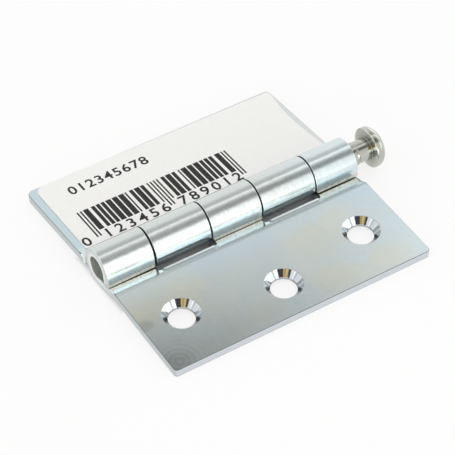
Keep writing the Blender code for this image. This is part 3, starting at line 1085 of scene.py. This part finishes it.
def zinc_film(node, across, along, height, near, uneven, finishes):
    """Colour of the film on the zinc, which is straw-coloured, clear or blue by its thickness."""
    # The near leaf is straw-coloured at its left end and round its right hole, bluer elsewhere
    straw = node("MapRange", (across, -0.034, -0.010, 0.95, 0.20), interpolation_type="SMOOTHSTEP")
    straw = spotted(node, straw, across, along, STRAW_SPOTS)
    straw = node("Math", (straw, near), operation="MULTIPLY")
    straw = node("Math", (uneven, 0.45, straw), operation="MULTIPLY_ADD")
    straw = node("MapRange", (straw, 0, 1, 0, 1))
    blue_right = node("MapRange", (across, 0.025, 0.040, 0, 0.5))
    blue_back = node("MapRange", (along, -0.018, -0.011, 0, 0.5))
    blue = node("Math", (blue_right, blue_back), operation="ADD")
    blue = node("Math", (blue, near), operation="MULTIPLY")
    # The far leaf is bluer still towards its left, and the barrel's upper side is clear
    far = node("MapRange", (along, 0.009, 0.012, 0, 1))
    clear = node("MapRange", (across, -0.01, 0.035, 0, 1))
    far_tint = painted(node, finishes.zinc_far, (clear, finishes.zinc_crown))
    upper = node("MapRange", (height, 0.0070, 0.0085, 0, 1))
    left = node("MapRange", (across, 0.010, 0.030, 1, 0))
    crown = node("Math", (upper, left), operation="MULTIPLY")
    return painted(
        node, finishes.zinc, (straw, finishes.zinc_warm), (blue, finishes.zinc_blue), (far, far_tint),
        (crown, finishes.zinc_crown),
    )


def zinc_level(node, across, along, near, uneven, grain):
    """How bright the zinc is on the near leaf, as a share, and 1 elsewhere: painted shade, with uneven tone
    and marks.
    """
    # Painted shade: it falls towards the front left corner
    right = node("Math", (across, 25.0), operation="MULTIPLY")
    front = node("MapRange", (along, -0.012, -0.037, 0, 1))
    level = node("Math", (right, 0.054, 1.0), operation="MULTIPLY_ADD")
    fall = node("Math", (right, 0.321, -0.161), operation="MULTIPLY_ADD")
    level = node("Math", (front, fall, level), operation="MULTIPLY_ADD")
    level = node("Math", (uneven, 0.05, level), operation="MULTIPLY_ADD")
    level = spotted(node, level, across, along, SHADE_SPOTS)
    # Turning marks lie round one point near that corner
    reach = node("Math", (squared_distance(node, (across, along), MARKS_CENTRE),), operation="SQRT")
    arcs = node("Math", (node("Math", (reach, MARKS_WAVE), operation="MULTIPLY"),), operation="SINE")
    depth = node("MapRange", (reach, 3, 9.5, 0.03, 0))
    level = node("Math", (arcs, depth, level), operation="MULTIPLY_ADD")
    speckle = node("Math", (grain, 0.10, -0.05), operation="MULTIPLY_ADD")
    level = node("Math", (level, speckle), operation="ADD")
    off = node("Math", (level, 1.0), operation="SUBTRACT")
    level = node("Math", (near, off, 1.0), operation="MULTIPLY_ADD")
    # Painted shade: a dark line in the fold, and a dark band where the sheet starts to rise behind a notch
    fold_shade = rise_and_fall(node, along, -0.0093, -0.0098, -0.0100, -0.0108)
    depth = node("MapRange", (across, -0.03, 0.0, 0.1, 0.3))
    fold_shade = node("Math", (fold_shade, depth), operation="MULTIPLY")
    lifted = node("Attribute", output="Fac", attribute_name="lifted")
    rise = rise_and_fall(node, lifted, 0.08, 0.18, 0.38, 0.52, 0.3)
    # Both are painted shade, taken off the level
    for dull in (fold_shade, rise):
        level = node("Math", (level, dull), operation="SUBTRACT")
    return level


def cone_film(node, finishes):
    """Colour of the countersinks: bright, with dull chatter marks down the cone, and painted shade on its
    front half.
    """
    way = node("Attribute", output="Vector", attribute_name="cone_way")
    # The chatter marks come about every 10 degrees
    chatter = node("TexNoise", {"Vector": way, "Scale": 12, "Detail": 3})
    ridge = node("MapRange", (chatter, 0.40, 0.60, 0, 1))
    # Painted shade on the front half of the cone
    facing = node("SeparateXYZ", (way,), "Y")
    dull = node("MapRange", (facing, -0.50, -0.12, 0, 0.55))
    return painted(node, finishes.cone_dull, (ridge, finishes.cone_bright), (dull, finishes.zinc_dark_shade))


def torn_film(node, place, finishes):
    """Colour of the roll's torn end, which has slanting grooves about 0.25 mm apart."""
    slant = node("Mapping", {"Vector": place, "Rotation": (0, 0.6, 0), "Scale": (4200, 300, 500)})
    grooves = node("TexNoise", {"Vector": slant, "Scale": 1, "Detail": 2})
    groove = node("MapRange", (grooves, 0.38, 0.62, 0, 1))
    return painted(node, finishes.zinc_cut, (groove, finishes.zinc_groove))


def zinc_plate(name, finishes):
    """Bright zinc plate on rolled and stamped steel: satin blue-white metal with a faint straw film."""
    material, node = new_material(name)
    place = node("TexCoord", output="Object")
    x, along, height = node("SeparateXYZ", (place,)).node.outputs
    across = node("Math", (x, float(axis_place()[0])), operation="SUBTRACT")
    # Film thickness drifts over about 15 mm and in streaks square to the barrel, and grain is about 0.35 mm
    drift = node("TexNoise", {"Vector": place, "Scale": 70, "Detail": 3, "Roughness": 0.6})
    stretch = node("Mapping", {"Vector": place, "Scale": (420, 45, 200)})
    streak = node("TexNoise", {"Vector": stretch, "Scale": 1, "Detail": 3})
    uneven = node("Math", (drift, 2.2, -1.5), operation="MULTIPLY_ADD")
    uneven = node("Math", (streak, 0.8, uneven), operation="MULTIPLY_ADD")
    grain = node("TexNoise", {"Vector": place, "Scale": 2800, "Detail": 2})

    near = node("MapRange", (along, -0.0085, -0.0115, 0, 1))
    tint = zinc_film(node, across, along, height, near, uneven, finishes)
    level = zinc_level(node, across, along, near, uneven, grain)
    shade = node("CombineColor", (level, level, level))
    tint = node("Mix", {0: 1.0, 6: tint, 7: shade}, 2, data_type="RGBA", blend_type="MULTIPLY")
    # Painted shade: the barrel's lower side and the sheet right under it are tinted dark blue-grey
    off_axis = node("Math", (along,), operation="ABSOLUTE")
    low = node("MapRange", (height, 0.0051, 0.0042, 0, 1))
    under = node("MapRange", (off_axis, 0.0066, 0.0062, 0, 0.75))
    under_barrel_shade = node("Math", (low, under), operation="MULTIPLY")
    tint = painted(node, tint, (under_barrel_shade, finishes.zinc_under_shade))

    rough = node("MapRange", (grain, 0.3, 0.7, 0.17, 0.25))
    # Worked faces in order: attribute, colour, how far it covers and how much rougher it is
    faces = (
        ("cone", cone_film(node, finishes), 1, -0.1),
        ("sheared", finishes.zinc_edge, 1, 0.2),
        ("end_wall", finishes.zinc_end, 1, 0),
        ("notch_wall", finishes.cone_bright, 1, 0.35),
        # Painted shade in the joints and a dark line along the outer edges
        ("dark_line_and_shade", finishes.zinc_dark_shade, 1, 0),
        ("cut_end", torn_film(node, place, finishes), 1, 0.12),
        # Painted light inside the bore and on the sheet just before the roll
        ("bore_wall", finishes.bore, 0.8, 0.2),
    )
    for layer, film, cover, rougher in faces:
        mask = node("Attribute", output="Fac", attribute_name=layer)
        rough = node("Math", (mask, rougher, rough), operation="MULTIPLY_ADD")
        share = node("Math", (mask, cover), operation="MULTIPLY")
        tint = painted(node, tint, (share, film))
    # The rolling leaves the barrel's skin more uneven than the flat sheet, over about 1.5 mm
    ripple = node("TexNoise", {"Vector": place, "Scale": 600, "Detail": 3})
    worked = node("MapRange", (off_axis, 0.0065, 0.0080, 0.8, 0.25))
    wavy = node("Bump", {"Height": ripple, "Strength": worked, "Distance": 0.00004})
    skin = node("Bump", {"Height": grain, "Strength": 0.3, "Distance": 0.00002, "Normal": wavy})
    surface = node(
        "BsdfPrincipled", {"Base Color": tint, "Metallic": 1.0, "Roughness": rough, "Normal": skin}
    )
    node("OutputMaterial", {"Surface": surface})
    return material


def nickel_plate(name, finishes):
    """Nickel plate on a turned pin: warm, glossier than the zinc, with faint turning marks and painted shade
    under its head.
    """
    material, node = new_material(name)
    place = node("TexCoord", output="Object")
    cloud = node("TexNoise", {"Vector": place, "Scale": 260, "Detail": 3})
    # Turning marks repeat along X about every 0.3 mm
    stretch = node("Mapping", {"Vector": place, "Scale": (3300, 120, 120)})
    marks = node("TexNoise", {"Vector": stretch, "Scale": 1, "Detail": 1})
    # Painted shade in the corner under the head
    neck = node("Attribute", output="Fac", attribute_name="neck")
    neck = node("Math", (neck, 0.45), operation="MULTIPLY")
    tint = painted(node, finishes.nickel, (cloud, finishes.nickel_dull), (neck, finishes.nickel_neck_shade))
    rough = node("MapRange", (cloud, 0.3, 0.7, 0.08, 0.15))
    skin = node("Bump", {"Height": marks, "Strength": 0.15, "Distance": 0.00002})
    surface = node(
        "BsdfPrincipled", {"Base Color": tint, "Metallic": 1.0, "Roughness": rough, "Normal": skin}
    )
    node("OutputMaterial", {"Surface": surface})
    return material


def label_paper(name, finishes):
    """Coated label paper: matt white with the faint cloud of its fibres."""
    material, node = new_material(name)
    # Fibre clouds are about 1.2 mm across
    cloud = node("TexNoise", {"Vector": node("TexCoord", output="Object"), "Scale": 800, "Detail": 4})
    tint = painted(node, finishes.paper, (cloud, finishes.paper_grey))
    skin = node("Bump", {"Height": cloud, "Strength": 0.1, "Distance": 0.00002})
    surface = node("BsdfPrincipled", {"Base Color": tint, "Roughness": 0.6, "Normal": skin})
    node("OutputMaterial", {"Surface": surface})
    return material


def print_ink(name, finishes):
    """Thermal print: soft black that lets a little of the paper through in specks."""
    material, node = new_material(name)
    # The specks are about 0.2 mm
    speck = node("TexNoise", {"Vector": node("TexCoord", output="Object"), "Scale": 5000, "Detail": 1})
    share = node("MapRange", (speck, 0.5, 0.8, 0, 0.1))
    tint = painted(node, finishes.ink, (share, finishes.paper_grey))
    surface = node("BsdfPrincipled", {"Base Color": tint, "Roughness": 0.55, "Specular IOR Level": 0.25})
    node("OutputMaterial", {"Surface": surface})
    return material


def pale_floor(name, finishes):
    """Seamless white studio floor: seen and mirrored as white, with the object's faint shadow kept."""
    material, node = new_material(name)
    place = node("TexCoord", output="Object")
    cloud = node("TexNoise", {"Vector": place, "Scale": 3, "Detail": 2})
    cloth = node("BsdfDiffuse", {"Color": painted(node, finishes.floor, (cloud, (1, 1, 1, 1)))})
    glow = node("Emission", {"Color": (1, 1, 1, 1), "Strength": 1.0})
    x, y, _ = node("SeparateXYZ", (place,)).node.outputs
    right = node("Math", (x, float(axis_place()[0])), operation="SUBTRACT")
    right = node("Math", (right,), operation="ABSOLUTE")
    ahead = node("Math", (y,), operation="ABSOLUTE")
    # Seen straight, the glow stops under the barrel; in reflections it stops under the whole hinge
    beyond = node("MapRange", (right, 0.0385, 0.0405, 0, 1))
    off_barrel = node("MapRange", (ahead, 0.010, 0.013, 0, 1))
    off_leaves = node("MapRange", (ahead, 0.038, 0.041, 0, 1))
    beside = node("Math", (beyond, off_barrel), operation="MAXIMUM")
    outside = node("Math", (beyond, off_leaves), operation="MAXIMUM")
    path = node("LightPath").node.outputs
    mirrored = node("Math", (path["Is Glossy Ray"], path["Is Transmission Ray"]), operation="MAXIMUM")
    seen = node("Math", (path["Is Camera Ray"], beside), operation="MULTIPLY")
    seen = node("Math", (mirrored, outside, seen), operation="MULTIPLY_ADD")
    share = node("Math", (seen, 0.8), operation="MULTIPLY")
    node("OutputMaterial", {"Surface": node("MixShader", (share, cloth, glow))})
    return material


# Light tent: how bright it is at each angle round the barrel's line, from level behind over the top
# to level in front, in degrees from straight up, without its soft box
TENT = (
    (-180, 0.97),
    (-135, 0.98),
    (-90, 0.97),
    (-60, 0.96),
    (-46, 0.96),
    (-34, 0.72),
    (-28, 0.56),
    (-13, 0.56),
    (-8, 1.28),
    (-3, 1.30),
    (3, 0.73),
    (16, 0.50),
    (32, 0.54),
    (42, 0.76),
    (60, 0.80),
    (88, 0.80),
    (112, 0.82),
    (150, 0.95),
    (180, 0.95),
)
TENT_PEAK = 2.0


def tent_cloth(node, angle):
    """Brightness of the tent's cloth at each angle."""
    share = node("Math", (angle, 1 / (2 * math.pi), 0.5), operation="MULTIPLY_ADD")
    table = node("ValToRGB", (share,))
    stops = table.node.color_ramp.elements
    for number, (degrees, level) in enumerate(TENT):
        place = degrees / 360 + 0.5
        # A new ramp has two stops
        stop = stops[number] if number < 2 else stops.new(place)
        stop.position = place
        stop.color = (level / TENT_PEAK,) * 3 + (1,)
    return node("Math", (table, TENT_PEAK), operation="MULTIPLY")


def soft_box(node, angle, across):
    """Brightness of the soft box, whose upper edge slants down and blurs to the right, where it ends."""
    slide = node("MapRange", (across, 0.32, 0.44, 0, 1))
    low = node("Math", (slide, math.radians(16), math.radians(34)), operation="MULTIPLY_ADD")
    high = node("Math", (slide, math.radians(31), math.radians(44)), operation="MULTIPLY_ADD")
    box = node("MapRange", (angle, low, high, 0, 1.15), interpolation_type="SMOOTHSTEP")
    lower = node(
        "MapRange", (angle, math.radians(96), math.radians(150), 1, 0), interpolation_type="SMOOTHSTEP"
    )
    end = node("MapRange", (across, 0.345, 0.41, 1, 0.05), interpolation_type="SMOOTHSTEP")
    # Its lower half is brighter
    bright = node("MapRange", (angle, math.radians(70), math.radians(84), 1, 1.9))
    for share in (lower, end, bright):
        box = node("Math", (box, share), operation="MULTIPLY")
    return box


def light_tent(finishes):
    """A white tent of cloth round the bench, with a soft box in front and a slit overhead."""
    world = bpy.data.worlds.new("light_tent")
    world.use_nodes = True
    world.node_tree.nodes.clear()
    node = partial(add_node, world.node_tree)
    across, y, height = node("SeparateXYZ", (node("TexCoord", output="Generated"),)).node.outputs
    front = node("Math", (y, -1.0), operation="MULTIPLY")
    angle = node("Math", (front, height), operation="ARCTAN2")

    # The ceiling dims to the right
    dim = node("MapRange", (across, 0.325, 0.42, 0, 0.62), interpolation_type="SMOOTHSTEP")
    ceiling = rise_and_fall(node, angle, *map(math.radians, (8, 16, 34, 44)))
    dim = node("Math", (dim, ceiling), operation="MULTIPLY")
    kept = node("Math", (1.0, dim), operation="SUBTRACT")
    level = node("Math", (tent_cloth(node, angle), kept), operation="MULTIPLY")
    sideways = node("Math", (across,), operation="ABSOLUTE")
    sides = node("MapRange", (sideways, 0.45, 0.65, 0, 0.6), interpolation_type="SMOOTHSTEP")
    for more in (soft_box(node, angle, across), sides):
        level = node("Math", (level, more), operation="ADD")

    # Somebody in black stands at the camera, to the left of the front, with a brass-coloured lamp
    left = node("Math", (across, -1.0), operation="MULTIPLY")
    heading = node("Math", (left, front), operation="ARCTAN2")
    tall = rise_and_fall(node, height, 0.33, 0.38, 0.68, 0.74)
    figure = rise_and_fall(node, heading, *map(math.radians, (-7, -4, 68, 72)), 0.97)
    figure = node("Math", (figure, tall), operation="MULTIPLY")
    lamp = rise_and_fall(node, heading, *map(math.radians, (25, 28, 55, 58)))
    lamp = node("Math", (lamp, tall), operation="MULTIPLY")
    free = node("Math", (1.0, figure), operation="SUBTRACT")
    level = node("Math", (level, free), operation="MULTIPLY")
    grey = node("CombineColor", (level, level, level))
    sky = node("Background", {"Color": painted(node, grey, (lamp, finishes.lamp)), "Strength": 1.0})
    node("OutputWorld", {"Surface": sky})
    bpy.context.scene.world = world


# Operators


def shared_material(name, maker, finishes):
    """The material of this name, made when it is first asked for."""
    return bpy.data.materials.get(name) or maker(name, finishes)


class HINGE_OT_leaves(Operator):
    """Build the two stamped and rolled leaves."""

    bl_idname = "hinge.leaves"
    bl_label = "Leaves"

    def execute(self, context):
        scene = context.scene
        material = shared_material("bright_zinc_plate_on_sheet", zinc_plate, scene.hinge_finishes)
        for name, side, body in (("near_leaf_sheet", NEAR, "near_leaf"), ("far_leaf_sheet", FAR, "far_leaf")):
            leaf = make_leaf(name, side, scene.hinge_leaf, material)
            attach(leaf, body)
            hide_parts(body)
        return {"FINISHED"}


class HINGE_OT_pin(Operator):
    """Turn the headed pin."""

    bl_idname = "hinge.pin"
    bl_label = "Pin"

    def execute(self, context):
        scene = context.scene
        points, directions, faces = lathe(*pin_outline(scene.hinge_pin))
        # Painted shade in the corner under the head, as an attribute
        neck = neck_shade_share(points, scene.hinge_pin)
        seat = sum(scene.hinge_leaf.knuckle_lengths) / 2 + scene.hinge_pin.drawn_out
        points = points + np.array([seat, 0, 0]) + axis_place()
        material = shared_material("bright_nickel_plate", nickel_plate, scene.hinge_finishes)
        pin = put_mesh("headed_pin", points, faces, directions, material, {"neck": neck})
        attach(pin, "pin")
        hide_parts("hinge_pin")
        return {"FINISHED"}


class HINGE_OT_label(Operator):
    """Cut the paper label and print its bars and plain numbers."""

    bl_idname = "hinge.label"
    bl_label = "Label"

    def execute(self, context):
        scene = context.scene
        white = shared_material("coated_label_paper", label_paper, scene.hinge_finishes)
        paper = make_paper(scene.hinge_leaf, scene.hinge_label, white)
        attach(paper, "far_leaf")
        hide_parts("paper_label")
        black = shared_material("thermal_print", print_ink, scene.hinge_finishes)
        print_piece = make_print(scene.hinge_leaf, scene.hinge_label, scene.hinge_print, black)
        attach(print_piece, "far_leaf")
        return {"FINISHED"}


class HINGE_OT_stage(Operator):
    """Set up the pale floor, the light tent and the camera."""

    bl_idname = "hinge.stage"
    bl_label = "Stage"

    def execute(self, context):
        finishes = context.scene.hinge_finishes
        angle = np.arange(TURNED_STEPS) * 2 * math.pi / TURNED_STEPS
        points = FLOOR_RADIUS * np.stack([np.cos(angle), np.sin(angle), np.zeros(TURNED_STEPS)], axis=1)
        mesh = bpy.data.meshes.new("studio_floor")
        mesh.from_pydata(points.tolist(), [], [list(range(TURNED_STEPS))])
        mesh.materials.append(shared_material("pale_floor", pale_floor, finishes))
        floor = bpy.data.objects.new("studio_floor", mesh)
        context.scene.collection.objects.link(floor)
        light_tent(finishes)
        lens = bpy.data.cameras.new("camera")
        lens.sensor_width = 36
        lens.lens = CAMERA_LENS
        lens.clip_start = 0.01
        lens.clip_end = 20
        camera = bpy.data.objects.new("camera", lens)
        camera.location = CAMERA_PLACE
        camera.rotation_euler = [math.radians(part) for part in CAMERA_TURN]
        context.scene.collection.objects.link(camera)
        context.scene.camera = camera
        context.scene.view_settings.view_transform = "Standard"
        return {"FINISHED"}


class HINGE_PT_builder(Panel):
    """Lists the hinge's sizes, colours and building steps."""

    bl_label = "Butt hinge"
    bl_space_type = "VIEW_3D"
    bl_region_type = "UI"
    bl_category = "Hinge"

    def draw(self, context):
        for title, kind in GROUPS.items():
            box = self.layout.box()
            for name in kind.__annotations__:
                box.prop(getattr(context.scene, title), name)
        for step in STEPS:
            self.layout.operator(step.bl_idname)


GROUPS = {
    "hinge_leaf": HingeLeafSizes,
    "hinge_pin": HingePinSizes,
    "hinge_label": HingeLabelSizes,
    "hinge_print": HingePrintSizes,
    "hinge_finishes": HingeFinishes,
}
STEPS = (HINGE_OT_leaves, HINGE_OT_pin, HINGE_OT_label, HINGE_OT_stage)


def register():
    for kind in (*GROUPS.values(), *STEPS, HINGE_PT_builder):
        bpy.utils.register_class(kind)
    for name, group in GROUPS.items():
        setattr(bpy.types.Scene, name, PointerProperty(type=group))


def unregister():
    for name in GROUPS:
        delattr(bpy.types.Scene, name)
    for kind in (HINGE_PT_builder, *STEPS, *GROUPS.values()):
        bpy.utils.unregister_class(kind)


def main():
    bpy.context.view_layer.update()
    register()
    bpy.ops.hinge.leaves()
    bpy.ops.hinge.pin()
    bpy.ops.hinge.label()
    bpy.ops.hinge.stage()
    bpy.context.view_layer.update()


if __name__ == "__main__":
    main()
